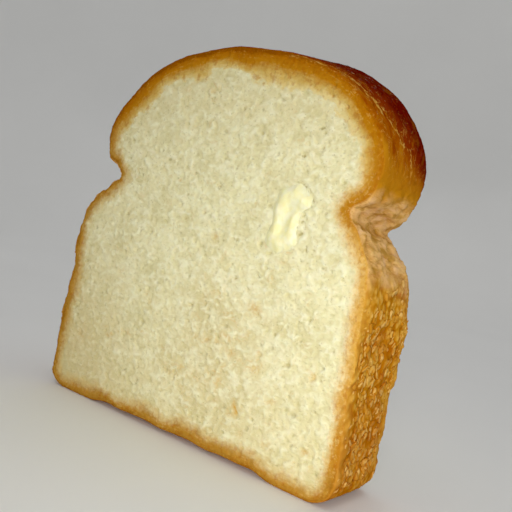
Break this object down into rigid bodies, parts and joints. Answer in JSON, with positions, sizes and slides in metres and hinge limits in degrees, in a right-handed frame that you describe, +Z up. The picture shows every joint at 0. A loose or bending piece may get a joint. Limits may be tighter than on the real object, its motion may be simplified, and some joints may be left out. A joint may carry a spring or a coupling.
{
  "type": "buttered bread slice",
  "caption": "Thick slice of white tin bread with a risen dome and a creased golden crust, standing upright with a small curl of butter on its cut face.",
  "frame": {"origin": "middle of the flat underside, on the floor", "axes": "+X across the slice, to the right as seen from the buttered side; +Y through its thickness, away from the buttered face; +Z up, from the bottom crust to the dome"},
  "size_m": [0.1153, 0.0272, 0.1202],
  "materials": {
    "bread": "dry, matt and porous, with a satin golden-brown crust",
    "butter": "smooth and slightly waxy"
  },
  "bodies": {
    "root": {"bread_slice": "bread", "butter_dab": "butter"}
  },
  "joints": []
}
